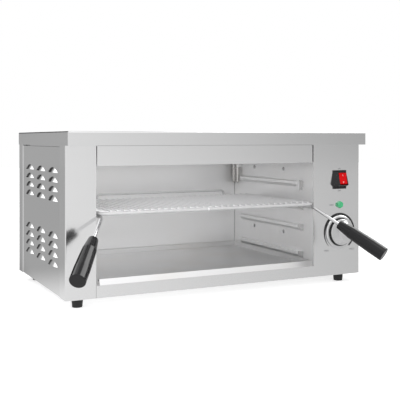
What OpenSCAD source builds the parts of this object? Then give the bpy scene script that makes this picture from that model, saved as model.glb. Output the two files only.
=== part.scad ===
// Countertop cheese melter: an open-fronted stainless grill with radiant elements under its roof,
// a wire rack with two handles and a crumb tray.
// X runs to the right, Y to the back and Z up. The origin is the middle of the four feet, on the counter.

/* [Casing] */
// Width over the side panels
body_w = 608; // [590:1:680]
// Depth from the front plane to the rear panel
body_d = 336; // [330:1:380]
// Height from the underside of the body to the underside of the cap
body_h = 258.5; // [252:0.5:290]
// Thickness of the stainless sheet
sheet = 1; // [0.8:0.1:1.3]
// Outside radius of the sheet bends
bend_r = 2; // [1.7:0.1:4]
// Width of the left front column
column_w = 54; // [50:1:70]
// Width of the control panel at the right
control_w = 111; // [108:1:130]
// Height of the strip over the opening
header_h = 35; // [30:1:45]
// Open joint at each end of that strip
header_gap = 2; // [1:0.1:3]
// Height of the sill under the opening
sill_h = 21.5; // [19:0.5:26]
// How far the front sheets wrap round the sides
front_wrap = 33; // [25:1:45]
// How far the rear panel wraps round the sides
rear_wrap = 31; // [22:1:45]

/* [Cap] */
// Height of the cap
cap_h = 24; // [18:1:36]
// How far the cap stands out over the front
cap_front = 20; // [10:1:30]
// How far the cap stands out at the sides and back
cap_side = 1; // [0.5:0.5:3]
// Width of the flange turned in under the cap, measured from the side panels
cap_flange = 15; // [8:1:24]
// Height of the open joint between the side panels and the cap
cap_joint = 2.5; // [1:0.5:4]

/* [Louvres] */
// Width of one louvre
louvre_w = 63; // [50:1:70]
// Height of one louvre
louvre_h = 9; // [7:0.5:11]
// How far a louvre stands out from its panel
louvre_out = 5; // [3.5:0.5:6]
// Distance between the columns of louvres
louvre_step = 84; // [76:1:90]
// Height of the lower block of louvres over the underside of the body, at the block's middle
louvre_low_z = 78; // [72:1:84]
// Height of the upper block of louvres, at its middle
louvre_high_z = 191; // [184:1:197]
// Distance between the rows of louvres
louvre_pitch = 16.5; // [15:0.5:18]

/* [Cavity] */
// Distance between the cavity's back wall and the outside of the rear panel
rear_gap = 19; // [16:1:30]
// Top of the lowest rack rib over the underside of the body
rib_low_top = 99; // [92:0.5:104]
// Top of the middle rack rib, which carries the rack
rib_mid_top = 140; // [134:0.5:146]
// Top of the highest rack rib
rib_high_top = 185.5; // [180:0.5:192]
// Height of a pressed rib
rib_h = 12.5; // [9:0.5:14]
// How far a rib stands in from its wall
rib_out = 8; // [7:0.5:10]
// Distance of the front end of the ribs behind the front plane
rib_front = 35; // [30:1:50]
// Distance of the rear end of the ribs from the back wall
rib_clear = 32; // [31:1:60]
// Gap between the tray's rim and the rib over it
tray_rib_gap = 0.6; // [0.5:0.1:3]

/* [Crumb tray] */
// Height of the tray's rim
tray_h = 10.6; // [8:0.2:14]
// Side clearance of the tray
tray_gap = 0.8; // [0.5:0.1:1.5]
// How far the tray's lip stands out over the sill
lip_out = 4.5; // [3:0.5:8]
// How far the lip ends inside each end of the opening
lip_in = 5; // [3:0.5:12]

/* [Rack] */
// Diameter of the frame rod, the handle arms and the guard rail
rod_d = 6; // [5:0.5:7]
// Diameter of the wires across the rack
cross_d = 4; // [3:0.5:5]
// Distance between the wires across the rack
cross_pitch = 27; // [24:1:36]
// Diameter of the wires from front to back
long_d = 3; // [2.5:0.1:3.5]
// Distance between the wires from front to back
long_pitch = 12.5; // [11:0.5:16]
// Gap between the rack and the back wall
rack_clear = 86; // [50:1:100]
// How far the rack stands out of the front plane
rack_out = 13; // [10:1:20]
// Gap between the rack and each side wall
rack_gap = 3.5; // [2.5:0.5:5]
// Bend radius of the frame's front corners, on the rod's centre line
rack_front_r = 14; // [12:1:24]
// Bend radius of the frame's back corners, on the rod's centre line
rack_back_r = 28; // [16:1:36]
// Height of the guard rail over the frame
guard_rise = 11.5; // [8:0.5:16]
// Least distance of the guard rail's ends from the sides of the rack
guard_inset = 74; // [40:1:90]

/* [Handles] */
// Length of the arm that is welded under the frame
arm_tail = 36; // [28:1:42]
// Length of the bare arm from its bend to the grip
arm_l = 59.5; // [50:0.5:75]
// Angle of the arm out to the side
arm_out = 34; // [20:1:40]
// Angle of the arm downwards
arm_down = 30.5; // [20:0.5:33]
// Length of the grip
grip_l = 101; // [90:1:115]
// Diameter of the grip at the arm
grip_small_d = 17; // [15:0.5:20]
// Diameter of the grip's flat outer end
grip_big_d = 26.5; // [22:0.5:30]
// Running clearance of the arm in the grip
grip_fit = 0.05; // [0.02:0.01:0.1]

/* [Heating] */
// Diameter of the sheathed elements
element_d = 6.5; // [6:0.5:8]
// Distance of the elements' centre line under the reflector plate
element_drop = 11; // [8:0.5:16]
// Distance between the two legs of one element
element_leg = 62; // [50:1:70]
// Distance of the first element leg behind the front plane
element_front = 64; // [56:1:80]
// Distance between the two elements
element_step = 126; // [118:1:130]

/* [Controls] */
// Distance of the controls' centre line from the right side
control_inset = 49; // [46:1:56]
// Height of the knob over the underside of the body
knob_z = 85; // [80:1:95]
// Diameter of the knob's dial ring
dial_d = 66; // [64:1:68]
// Diameter of the knob's silver face
knob_face_d = 52; // [44:1:54]
// Diameter of the thermostat shaft
shaft_d = 6; // [5:0.5:7]
// Running clearance of the shaft and the rocker pins
run_fit = 0.06; // [0.03:0.01:0.1]
// Height of the lamp over the underside of the body
lamp_z = 139; // [132:1:148]
// Width of the lamp's lens over its corners
lamp_d = 15; // [14:0.5:20]
// Height of the switch over the underside of the body
switch_z = 189; // [183:1:197]
// Width of the switch bezel
switch_w = 31; // [29:1:34]
// Height of the switch bezel
switch_h = 37; // [36:1:42]

/* [Feet] */
// Height of the feet
foot_h = 17.5; // [12:0.5:30]
// Diameter of a foot where it meets the body
foot_top_d = 21; // [18:1:30]
// Diameter of a foot on the counter
foot_low_d = 17.5; // [14:0.5:18]
// Distance of a foot's centre from the sides, the front and the back
foot_inset = 30; // [24:1:40]

/* [Hidden] */
$fn = 48;
steel = [0.78, 0.78, 0.79];
bright = [0.86, 0.86, 0.87];
black = [0.12, 0.12, 0.13];

// Working clearance between pieces that move past each other
slide_gap = 0.3;
// Overrun of a cutting shape past the face that it cuts
over = 1;
// Depth to which welded wires sink into the frame rod
weld = 0.4;
// Straight bars end this far inside their bends, and the bends are this much thicker to hold them
bend_lap = 0.4;
bend_swell = 0.06;

// Planes of the casing
left = -body_w / 2;
right = body_w / 2;
front = -body_d / 2;
back = body_d / 2;
base = foot_h;
shoulder = base + body_h;
deck_z = shoulder - sheet;
corner = max(2 * sheet, bend_r);
floor_z = base + sill_h;

// Planes of the opening and the cavity
open_l = left + column_w;
open_r = right - control_w;
open_w = open_r - open_l;
mid_x = (open_l + open_r) / 2;
wall_back = back - rear_gap;
wall_low = base + sheet;
reflector_drop = 10;
header_z = shoulder - header_h;
reflector_z = shoulder - reflector_drop;
wall_flange = 10;
sill_flange = 14;

// Levels of the ribs
tray_rim = floor_z + slide_gap + tray_h;
rack_rib_tops = [base + rib_low_top, base + rib_mid_top, base + rib_high_top];
rack_rib = rack_rib_tops[1];
rib_tops = concat([tray_rim + tray_rib_gap + rib_h], rack_rib_tops);
rib_from = front + rib_front;
rib_to = wall_back - rib_clear;

// Rack
rack_w = open_w - 2 * rack_gap;
rack_z = rack_rib + slide_gap + rod_d / 2;
rack_top = rack_z + rod_d / 2;
rack_front = front - rack_out + rod_d / 2;
rack_back = wall_back - rack_clear - rod_d / 2;
rack_left = mid_x - rack_w / 2 + rod_d / 2;
rack_right = mid_x + rack_w / 2 - rod_d / 2;
cross_z = rack_top - cross_d / 2;
long_z = rack_top + long_d / 2;
guard_z = rack_top + guard_rise;

// Handle arm: its bend, its direction and where the grip starts
arm_r = 9;
arm_z = rack_z - rod_d;
arm_bend = [rack_left, rack_front + 1, arm_z];
arm_dir = [-cos(arm_down) * sin(arm_out), -cos(arm_down) * cos(arm_out), -sin(arm_down)];
grip_start = arm_bend + arm_l * arm_dir;
grip_socket = 62;

// Elements
element_r = element_leg / 2;
element_zc = reflector_z - element_drop;
element_legs = [
  for (i = [0, 1]) for (j = [0, 1]) front + element_front + i * element_step + j * element_leg
];
element_end = open_r + 22;
element_hole = element_d + 0.6;
ferrule_d = 12;
ferrule_bore = element_d + 0.1;
hanger_x = [open_l + 110, open_r - 110];
hanger_drop = 9;
hanger_foot = 12;
hanger_sheet = 1.2;

// Controls
control_x = right - control_inset;
knob_zc = base + knob_z;
lamp_zc = base + lamp_z;
switch_zc = base + switch_z;
panel_back = front + sheet;
thermostat_size = [38, 30, 40];
thermostat_screw_step = 28;
screw_d = 4;
panel_shaft_hole = 10;
shaft_out = 15;
shaft_in = 14;
shaft_flat = shaft_d / 2 - 1.2;
knob_gap = 1;
dial_floor = 1.5;
dial_t = 3;
hub_top = 7;
hub_foot_d = knob_face_d + 4;
boss_d = 12;
boss_top = 13;
bar_w = 15.5;
bar_l = 44;
bar_top = 19;
lamp_body_d = 12;
lens_out = 5.5;
rocker_r = 12.1;
rocker_w = 17.4;
rocker_gap = 0.4;
rocker_pin_d = 3;
rocker_pin_l = 1.6;
rocker_up = 1.8;
rocker_y = front - 7.4;
rocker_face = 4.8;
rocker_tilt = 5;
guard_lean = 15;
guard_rim = 1.5;
guard_out = 12.6;
guard_flare = 4.5;

// Phials in the back right corner of the cavity
phial_d = 7.5;
phial_l = 64;
phial_x = open_r - 6.5;
phial_y = [wall_back - 8.5, wall_back - 25];
phial_top = reflector_z - 12;
capillary_d = 2;
capillary_r = 5;
capillary_z = phial_top + capillary_r + 2;

// Mains entry
gland_x = right - 40;
gland_z = base + 32;
gland_d = 20;
cord_hole = 10.4;

// Feet
foot_spots = [
  for (x = [left + foot_inset, right - foot_inset]) for (y = [front + foot_inset, back - foot_inset])
    [x, y]
];
foot_bore = 5;
foot_pocket_d = 10;
foot_pocket = 8;

// Vents
vent_w = 4;

// ---------------------------------------------------------------- shared shapes

function unit(v) = v / norm(v);

// Angle through which a path turns at point i
function turn(path, i) = acos(unit(path[i] - path[i - 1]) * unit(path[i + 1] - path[i]));

// Straight length that a bend of radius r takes from each side of point i
function trim(path, i, r) = i == 0 || i == len(path) - 1 ? 0 : r * tan(turn(path, i) / 2) - bend_lap;

// Rectangle centred on the origin with round corners
module round_rect(w, h, r) {
  square([w - 2 * r, h], center = true);
  square([w, h - 2 * r], center = true);
  for (x = [-1, 1], y = [-1, 1]) translate([x * (w / 2 - r), y * (h / 2 - r)]) circle(r = r);
}

// Slot with round ends, along the first axis
module slot_2d(length, width) {
  square([length - width, width], center = true);
  for (x = [-1, 1]) translate([x * (length - width) / 2, 0]) circle(d = width);
}

// Box given by its lowest and highest corners
module box(low, high) {
  translate(low) cube(high - low);
}

// Round bar between two points
module bar(p, q, d) {
  v = q - p;
  translate(p) rotate([0, acos(v.z / norm(v)), atan2(v.y, v.x)]) cylinder(d = d, h = norm(v));
}

// Bend of radius r that carries a bar round point c, from direction u to direction w
module bend(c, u, w, r, d) {
  a = acos(u * w);
  side = unit(w - (u * w) * u);
  axis = cross(u, side);
  centre = c - r * tan(a / 2) * u + r * side;
  multmatrix([
    [-side.x, u.x, axis.x, centre.x],
    [-side.y, u.y, axis.y, centre.y],
    [-side.z, u.z, axis.z, centre.z]
  ]) rotate_extrude(angle = a) translate([r, 0]) circle(d = d + bend_swell);
}

// Bar along a path of points with equal bends between its straight stretches
module bent_bar(path, r, d) {
  for (i = [0 : len(path) - 2]) {
    u = unit(path[i + 1] - path[i]);
    bar(path[i] + trim(path, i, r) * u, path[i + 1] - trim(path, i + 1, r) * u, d);
  }
  for (i = [1 : len(path) - 2])
    bend(path[i], unit(path[i] - path[i - 1]), unit(path[i + 1] - path[i]), r, d);
}

// Cylinder along +Y from a point
module along_y(p, d, l) {
  translate(p) rotate([-90, 0, 0]) cylinder(d = d, h = l);
}

// Cylinder along +X from a point
module along_x(p, d, l) {
  translate(p) rotate([0, 90, 0]) cylinder(d = d, h = l);
}

// Pan-head screw along +Z, with its head's underside at the origin
module pan_screw(d, l) {
  head_d = 2 * d;
  head_h = 0.6 * d;
  rotate_extrude() {
    square([d / 2, l]);
    intersection() {
      translate([0, -head_h]) square([head_d / 2, head_h]);
      translate([0, d]) circle(r = d + head_h);
    }
  }
}

// Hexagon nut on the XY plane
module hex_nut(across, h, hole) {
  difference() {
    cylinder(d = across / cos(30), h = h, $fn = 6);
    translate([0, 0, -over]) cylinder(d = hole, h = h + 2 * over);
  }
}

// ---------------------------------------------------------------- casing

// Plan of the wrapped casing sheet between two corners
module wrap_plan(low, high) {
  intersection() {
    difference() {
      round_rect(body_w, body_d, bend_r);
      round_rect(body_w - 2 * sheet, body_d - 2 * sheet, bend_r - sheet);
    }
    translate(low) square(high - low);
  }
}

// Block whose top edges and upright corners are bent to a radius, standing on z = 0
module bent_block(w, d, h, r) {
  intersection() {
    linear_extrude(h) round_rect(w, d, r);
    translate([0, d / 2, 0]) rotate([90, 0, 0]) linear_extrude(d) crown(w, h, r);
    translate([-w / 2, 0, 0]) rotate([90, 0, 90]) linear_extrude(w) crown(d, h, r);
  }
}

// Upright rectangle with its two top corners rounded
module crown(w, h, r) {
  intersection() {
    translate([0, h / 2 - r]) round_rect(w, h + 2 * r, r);
    translate([-w / 2, 0]) square([w, h]);
  }
}

// Folded cap: a tray turned upside down, with a flange turned in at its lower edge
module top_cover() color(steel) {
  w = body_w + 2 * cap_side;
  d = body_d + cap_front + cap_side;
  mid_y = (cap_side - cap_front) / 2;
  translate([0, 0, shoulder]) difference() {
    translate([0, mid_y, 0]) bent_block(w, d, cap_h, bend_r);
    translate([0, mid_y, sheet])
      bent_block(w - 2 * sheet, d - 2 * sheet, cap_h - 2 * sheet, bend_r - sheet);
    translate([0, 0, -over]) linear_extrude(sheet + 2 * over)
      round_rect(body_w - 2 * cap_flange, body_d - 2 * cap_flange, bend_r);
  }
}

// Deck that closes the body under the cap, set in from the side panels, with flanges turned down at
// its sides and back
module top_deck() color(steel) {
  drop = 14;
  side = corner + 6;
  box([left + side, panel_back, deck_z], [right - side, back - sheet, shoulder]);
  difference() {
    box([left + side, panel_back + corner, deck_z - drop], [right - side, back - sheet, deck_z]);
    box([left + side + sheet, panel_back, deck_z - drop - over],
        [right - side - sheet, back - 2 * sheet, deck_z + over]);
    for (p = rear_screw_spots) along_y([p.x, back - 2 * sheet - over, p.y], screw_d, sheet + 2 * over);
  }
}

// Column at the left of the opening, wrapped round the side
module left_front_column() color(bright) {
  translate([0, 0, base]) linear_extrude(body_h)
    wrap_plan([left - over, front - over], [open_l, front + front_wrap]);
}

// Control panel, in one sheet with the sill under the opening
module control_panel() color(bright) {
  difference() {
    union() {
      translate([0, 0, base]) linear_extrude(body_h)
        wrap_plan([open_r, front - over], [right + over, front + front_wrap]);
      box([open_l, front, base], [open_r + over, panel_back, floor_z]);
      box([open_l, front, floor_z - sheet], [open_r, panel_back + sill_flange, floor_z]);
    }
    along_y([control_x, front - over, knob_zc], panel_shaft_hole, sheet + 2 * over);
    for (s = [-1, 1])
      along_y([control_x + s * thermostat_screw_step / 2, front - over, knob_zc], screw_d + 0.4,
        sheet + 2 * over);
    along_y([control_x, front - over, lamp_zc], lamp_body_d, sheet + 2 * over);
    box([control_x - switch_w / 2 + 2.5, front - over, switch_zc - switch_h / 2 + 2.5],
        [control_x + switch_w / 2 - 2.5, panel_back + over, switch_zc + switch_h / 2 - 2.5]);
  }
}

// Strip over the opening, set back a little and folded back at its lower edge and ends
module header_panel() color(bright) {
  set_back = sheet + 0.2;
  lip = 14;
  low = [open_l + header_gap, front + set_back, header_z];
  high = [open_r - header_gap, front + set_back + lip, deck_z];
  difference() {
    box(low, high);
    box(low + [sheet, sheet, sheet], high + [-sheet, over, -sheet]);
  }
}

// A louvre is a slice of a thin ball. Where it meets the panel its edge is an arch of this radius
arch_r = (pow(louvre_w / 2, 2) + pow(louvre_h, 2)) / (2 * louvre_h);
// Depth of the ball's centre behind the panel's face, and the ball's radius
ball_deep = (pow(arch_r, 2) - pow(arch_r - louvre_h, 2) - pow(louvre_out, 2)) / (2 * louvre_out);
ball_r = sqrt(pow(arch_r, 2) + pow(ball_deep, 2));

// Part of that ball over the louvre's lower edge, between two planes across the panel
module hood_ball(y, z, r, from_x, to_x) {
  intersection() {
    translate([left + sheet + ball_deep, y, z + louvre_h - arch_r]) sphere(r = r, $fn = 96);
    box([from_x, y - louvre_w, z], [to_x, y + louvre_w, z + 2 * louvre_h]);
  }
}

louvre_spots = [
  for (c = [-1 : 1]) for (block = [louvre_low_z, louvre_high_z]) for (row = [-1.5 : 1.5])
    [front + (front_wrap + body_d - rear_wrap) / 2 + c * louvre_step - 5,
     base + block + row * louvre_pitch - louvre_h / 2]
];

// Louvred side panel, set in behind the wraps of the front and rear sheets
module louvred_panel() {
  face = left + sheet;
  difference() {
    union() {
      box([face, front + corner, wall_low], [face + sheet, back - corner, shoulder - cap_joint]);
      for (p = louvre_spots)
        hood_ball(p.x, p.y, ball_r, face - louvre_out - over, face + sheet / 2);
    }
    for (p = louvre_spots)
      hood_ball(p.x, p.y, ball_r - sheet, face - louvre_out - over, face + sheet + over);
  }
}

module left_side_panel() color(steel) {
  louvred_panel();
}

module right_side_panel() color(steel) {
  mirror([1, 0, 0]) louvred_panel();
}

// Back of the casing, wrapped round both sides
module rear_panel() color(steel) {
  difference() {
    translate([0, 0, base]) linear_extrude(body_h)
      wrap_plan([left - over, back - rear_wrap], [right + over, back + over]);
    for (x = [left + column_w / 2, open_r + control_w / 2], row = [0 : 6])
      translate([x, back + over, base + 150 + row * 10]) rotate([90, 0, 0])
        linear_extrude(sheet + 2 * over) slot_2d(36, vent_w);
    along_y([gland_x, back - sheet - over, gland_z], gland_d - 4, sheet + 2 * over);
    for (p = rear_screw_spots) along_y([p.x, back - sheet - over, p.y], screw_d, sheet + 2 * over);
  }
}

rear_screw_spots = [
  for (x = [left + 16, open_l + open_w / 4, open_r - open_w / 4, right - 16])
    for (z = [wall_low + 7, deck_z - 7]) [x, z]
];

module rear_screws() color(bright) {
  for (p = rear_screw_spots)
    translate([p.x, back, p.y]) rotate([90, 0, 0]) pan_screw(screw_d, 8);
}

// Bottom of the casing, turned up at its sides and back, with vents under the side compartments
module base_panel() color(steel) {
  rise = 14;
  low = [left + corner, panel_back, base];
  high = [right - corner, back - sheet, base + rise];
  difference() {
    box(low, high);
    box(low + [sheet, -over, sheet], high + [-sheet, -sheet, over]);
    for (p = foot_spots)
      translate([p.x, p.y, base - over]) cylinder(d = foot_bore, h = sheet + 2 * over);
    for (i = [-4 : 4])
      translate([open_r + control_w / 2, i * 16, base - over]) linear_extrude(sheet + 2 * over)
        slot_2d(60, vent_w);
    for (i = [-4 : 4])
      translate([left + column_w / 2 + 2, i * 16, base - over]) linear_extrude(sheet + 2 * over)
        slot_2d(30, vent_w);
    for (p = rear_screw_spots)
      along_y([p.x, high.y - sheet - over, p.y], screw_d, sheet + 2 * over);
  }
}

// ---------------------------------------------------------------- cavity

// Rise of a rib's sloping underside for each millimetre away from the wall
rib_slope = rib_h / 2 / rib_out;

// Height of that underside, measured down from the rib's top, for a rib drawn in by t
function rib_under(x, t) = rib_slope * x - rib_h + t * sqrt(1 + pow(rib_slope, 2));

// Section of a pressed rib, drawn in by t. The first axis is the distance from the wall
module rib_section(t) {
  root = -sheet - over;
  nose = rib_out - t;
  polygon([
    [root, -t], [nose - 1, -t], [nose, -t - 1], [nose, rib_under(nose, t)], [root, rib_under(root, t)]
  ]);
}

// Plan of a rib whose ends slope at 45 degrees, drawn in by t
module rib_plan(t, from_y, to_y) {
  root = -sheet - over;
  cut = t * sqrt(2);
  polygon([
    [root, from_y + cut + root], [rib_out, from_y + cut + rib_out],
    [rib_out, to_y - cut - rib_out], [root, to_y - cut - root]
  ]);
}

// One rib on a wall at x = 0 that faces +X
module rib(top, t, from_y, to_y) {
  intersection() {
    translate([0, to_y + over, top]) rotate([90, 0, 0])
      linear_extrude(to_y - from_y + 2 * over) rib_section(t);
    translate([0, 0, top - 2 * rib_h]) linear_extrude(3 * rib_h) rib_plan(t, from_y, to_y);
    box([-sheet, from_y - over, top - 2 * rib_h], [rib_out + over, to_y + over, top + rib_h]);
  }
}

// Side wall of the cavity facing +X, with its inner face at x = 0
module cavity_wall() {
  stop = [rib_from + 3, rib_from + 12];
  difference() {
    union() {
      box([-sheet, panel_back, wall_low], [0, wall_back + wall_flange, deck_z]);
      box([-wall_flange, panel_back, wall_low], [0, panel_back + sheet, deck_z]);
      for (top = rib_tops) rib(top, 0, rib_from, rib_to);
      box([0, stop[0], rib_tops[3] - rib_h - 5], [rib_out, stop[1], rib_tops[3] + 1.5]);
    }
    for (top = rib_tops) rib(top, sheet, rib_from, rib_to);
  }
}

module inner_left_wall() color(steel) {
  difference() {
    translate([open_l, 0, 0]) cavity_wall();
    for (p = wall_screw_spots) along_x([open_l - sheet - over, p.x, p.y], screw_d, sheet + 2 * over);
  }
}

module inner_right_wall() color(steel) {
  difference() {
    translate([open_r, 0, 0]) mirror([1, 0, 0]) cavity_wall();
    for (p = wall_screw_spots) along_x([open_r - over, p.x, p.y], screw_d, sheet + 2 * over);
    for (y = element_legs) along_x([open_r - over, y, element_zc], ferrule_d - 3, sheet + 2 * over);
    for (y = phial_y)
      along_x([open_r - over, y, capillary_z], capillary_d + 1.4, sheet + 2 * over);
  }
}

// Screws that hold the rib walls, between the levels
wall_screw_spots = [
  for (y = [rib_from + 72, rib_to - 59], z = [rack_rib_tops[0] - rib_h - 9.2, rack_rib_tops[2] + 22])
    [y, z]
];

module wall_screws() color(bright) {
  for (p = wall_screw_spots) {
    translate([open_l, p.x, p.y]) rotate([0, -90, 0]) pan_screw(screw_d, 6);
    translate([open_r, p.x, p.y]) rotate([0, 90, 0]) pan_screw(screw_d, 6);
  }
}

// Back wall of the cavity with flanges turned to the rear
module inner_back_wall() color(steel) {
  difference() {
    box([open_l, wall_back, wall_low], [open_r, wall_back + wall_flange, deck_z]);
    box([open_l + sheet, wall_back + sheet, wall_low - over],
        [open_r - sheet, wall_back + wall_flange + over, deck_z + over]);
  }
}

// Floor under the crumb tray, behind the sill
module cavity_floor() color(steel) {
  low = floor_z - wall_flange;
  difference() {
    box([open_l, panel_back + sill_flange, low], [open_r, wall_back, floor_z]);
    box([open_l + sheet, panel_back + sill_flange - over, low - over],
        [open_r - sheet, wall_back + over, floor_z - sheet]);
  }
}

// Polished plate over the elements, with its sides turned up against the walls
module reflector_plate() color(bright) {
  difference() {
    box([open_l, front + 22, reflector_z], [open_r, wall_back, deck_z]);
    box([open_l + sheet, front + 22 - over, reflector_z + sheet],
        [open_r - sheet, wall_back - sheet, deck_z + over]);
    for (p = hanger_screw_spots)
      translate([p.x, p.y, reflector_z - over]) cylinder(d = 3.4, h = sheet + 2 * over);
  }
}

// Strip of sheet of thickness t folded along a path of points, in the plane
module folded(path, t) {
  for (i = [0 : len(path) - 1]) translate(path[i]) circle(d = t);
  for (i = [0 : len(path) - 2]) {
    v = path[i + 1] - path[i];
    translate(path[i]) rotate(atan2(v.y, v.x)) translate([0, -t / 2]) square([norm(v), t]);
  }
}

// Tray with a folded lip at its front, which leans back over the sill and serves as its handle
module crumb_tray() color(bright) {
  low = [open_l + tray_gap, front + 1, floor_z + slide_gap];
  high = [open_r - tray_gap, wall_back - 3, tray_rim];
  fold = sheet / 2;
  difference() {
    box(low, high);
    box([low.x + sheet, low.y - over, low.z + sheet], [high.x - sheet, high.y - sheet, high.z + over]);
    box([low.x - over, low.y - over, low.z + sheet], [high.x + over, low.y + 14, high.z + over]);
  }
  translate([open_l + lip_in, front, low.z]) rotate([90, 0, 90]) linear_extrude(open_w - 2 * lip_in)
    folded([[3, fold], [fold - lip_out, fold], [0, tray_h - fold], [5, tray_h - fold], [5, tray_h - 4]],
      sheet);
}

// ---------------------------------------------------------------- rack

// Closed frame of round rod
module rack_frame() color(bright) {
  rf = rack_front_r;
  rb = rack_back_r;
  bar([rack_left + rf, rack_front, rack_z], [rack_right - rf, rack_front, rack_z], rod_d);
  bar([rack_left + rb, rack_back, rack_z], [rack_right - rb, rack_back, rack_z], rod_d);
  for (x = [rack_left, rack_right])
    bar([x, rack_front + rf, rack_z], [x, rack_back - rb, rack_z], rod_d);
  frame_corner([rack_left + rf, rack_front + rf], rf, 180);
  frame_corner([rack_right - rf, rack_front + rf], rf, 270);
  frame_corner([rack_right - rb, rack_back - rb], rb, 0);
  frame_corner([rack_left + rb, rack_back - rb], rb, 90);
}

module frame_corner(c, r, from) {
  translate([c.x, c.y, rack_z]) rotate([0, 0, from])
    rotate_extrude(angle = 90) translate([r, 0]) circle(d = rod_d);
}

// Wires across the rack, welded between the side rods
module rack_cross_wires() color(bright) {
  room = rack_back - rack_front - cross_pitch;
  count = floor(room / cross_pitch);
  start = (rack_front + rack_back - count * cross_pitch) / 2;
  reach = rod_d / 2 - weld;
  for (i = [0 : count]) {
    y = start + i * cross_pitch;
    pull = y > rack_back - rack_back_r ? corner_pull(y, rack_back, rack_back_r)
         : y < rack_front + rack_front_r ? corner_pull(-y, -rack_front, rack_front_r) : 0;
    along_x([rack_left + reach + pull, y, cross_z], cross_d, rack_right - rack_left - 2 * (reach + pull));
  }
}

// How far the frame's bent corner draws in a wire at height y
function corner_pull(y, edge, r) = r - sqrt(max(0, pow(r, 2) - pow(y - edge + r, 2)));

// Wires from front to back, on top of the frame and the cross wires
module rack_long_wires() color(bright) {
  count = floor((rack_w - 2 * rack_back_r) / long_pitch / 2) + 1;
  for (i = [-count : count])
    along_y([mid_x + i * long_pitch, rack_front - rod_d / 2 + 1, long_z], long_d,
      rack_back - rack_front + rod_d - 2 - long_end(abs(i) * long_pitch));
}

// How much shorter a wire is where it meets a bent back corner
function long_end(x) = x < rack_w / 2 - rack_back_r ? 0
  : corner_pull(x, rack_w / 2 - rod_d / 2, rack_back_r);

// Raised rail along the back of the rack that keeps dishes from sliding off. It stands between wires
module rack_guard_rail() color(bright) {
  reach = (floor((rack_w / 2 - guard_inset) / long_pitch) + 0.5) * long_pitch;
  low = rack_top - weld;
  bent_bar([[mid_x - reach, rack_back, low], [mid_x - reach, rack_back, guard_z],
            [mid_x + reach, rack_back, guard_z], [mid_x + reach, rack_back, low]], 6, rod_d - 1.5);
}

// Handle arm: welded under the side rod, bent out and down in front of the frame, into the grip
module handle_arm() {
  bent_bar([arm_bend + [0, arm_tail, 0], arm_bend, grip_start + (grip_socket - 2) * arm_dir], arm_r, rod_d);
}

module left_handle_arm() color(bright) {
  handle_arm();
}

module right_handle_arm() color(bright) {
  mirrored_handle() handle_arm();
}

// The right handle mirrors the left one about the middle of the opening
module mirrored_handle() {
  translate([2 * mid_x, 0, 0]) mirror([1, 0, 0]) children();
}

// Turned grip along +Z: a round nose, a tapered neck and a long flaring body with a flat end
module grip_shape() {
  small = grip_small_d / 2;
  big = grip_big_d / 2;
  neck = grip_l * 0.24;
  nose = 1.5;
  edge = 1.5;
  rotate_extrude() difference() {
    union() {
      polygon([
        [0, 0], [small - nose, 0], [small, nose], [big - 1.9, neck], [big - 1.4, neck + 3],
        [big, grip_l * 0.72], [big, grip_l - edge], [big - edge, grip_l], [0, grip_l]
      ]);
      translate([small - nose, nose]) circle(r = nose);
      translate([big - edge, grip_l - edge]) circle(r = edge);
    }
    translate([-over, -over]) square([rod_d / 2 + grip_fit + over, grip_socket + over]);
  }
}

module handle_grip() {
  translate(grip_start)
    rotate([0, acos(arm_dir.z), atan2(arm_dir.y, arm_dir.x)]) grip_shape();
}

module left_handle_grip() color(black) {
  handle_grip();
}

module right_handle_grip() color(black) {
  mirrored_handle() handle_grip();
}

// ---------------------------------------------------------------- heating

// Hairpin element with its two ends through the right wall
module hairpin(y) {
  bend_x = open_l + 14 + element_r + element_d / 2;
  for (leg = [0, element_leg])
    along_x([bend_x, y + leg, element_zc], element_d, element_end - bend_x);
  translate([bend_x, y + element_r, element_zc]) rotate([0, 0, 90])
    rotate_extrude(angle = 180) translate([element_r, 0]) circle(d = element_d);
}

module front_element() color([0.35, 0.33, 0.32]) {
  hairpin(element_legs[0]);
}

module rear_element() color([0.35, 0.33, 0.32]) {
  hairpin(element_legs[2]);
}

hanger_screw_spots = [
  for (x = hanger_x) for (y = [element_legs[0] + element_r, element_legs[2] + element_r])
    [x + hanger_foot / 2, y]
];

// Strip that hangs from the reflector and carries the four element legs
module element_hanger(x) {
  low_y = element_legs[0] - 16;
  high_y = element_legs[3] + 16;
  difference() {
    union() {
      box([x - hanger_sheet, low_y, element_zc - hanger_drop], [x, high_y, reflector_z]);
      box([x - hanger_sheet, low_y, reflector_z - hanger_sheet], [x + hanger_foot, high_y, reflector_z]);
    }
    for (y = element_legs)
      along_x([x - hanger_sheet - over, y, element_zc], element_hole, hanger_sheet + 2 * over);
    for (p = hanger_screw_spots)
      translate([p.x, p.y, reflector_z - hanger_sheet - over])
        cylinder(d = 3.4, h = hanger_sheet + 2 * over);
  }
}

module left_element_hanger() color(steel) {
  element_hanger(hanger_x[0]);
}

module right_element_hanger() color(steel) {
  element_hanger(hanger_x[1]);
}

module hanger_screws() color(bright) {
  for (p = hanger_screw_spots)
    translate([p.x, p.y, reflector_z - hanger_sheet]) pan_screw(3, 6);
}

// Bushes that carry the element ends in the right wall
module element_ferrules() color([0.72, 0.6, 0.35]) {
  for (y = element_legs) difference() {
    union() {
      along_x([open_r - 3, y, element_zc], ferrule_d, 3);
      along_x([open_r, y, element_zc], ferrule_d - 3.2, sheet + 5);
      translate([open_r + sheet, y, element_zc]) rotate([0, 90, 0])
        cylinder(d = 14 / cos(30), h = 4, $fn = 6);
    }
    along_x([open_r - 3 - over, y, element_zc], ferrule_bore, 20);
  }
}

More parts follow.
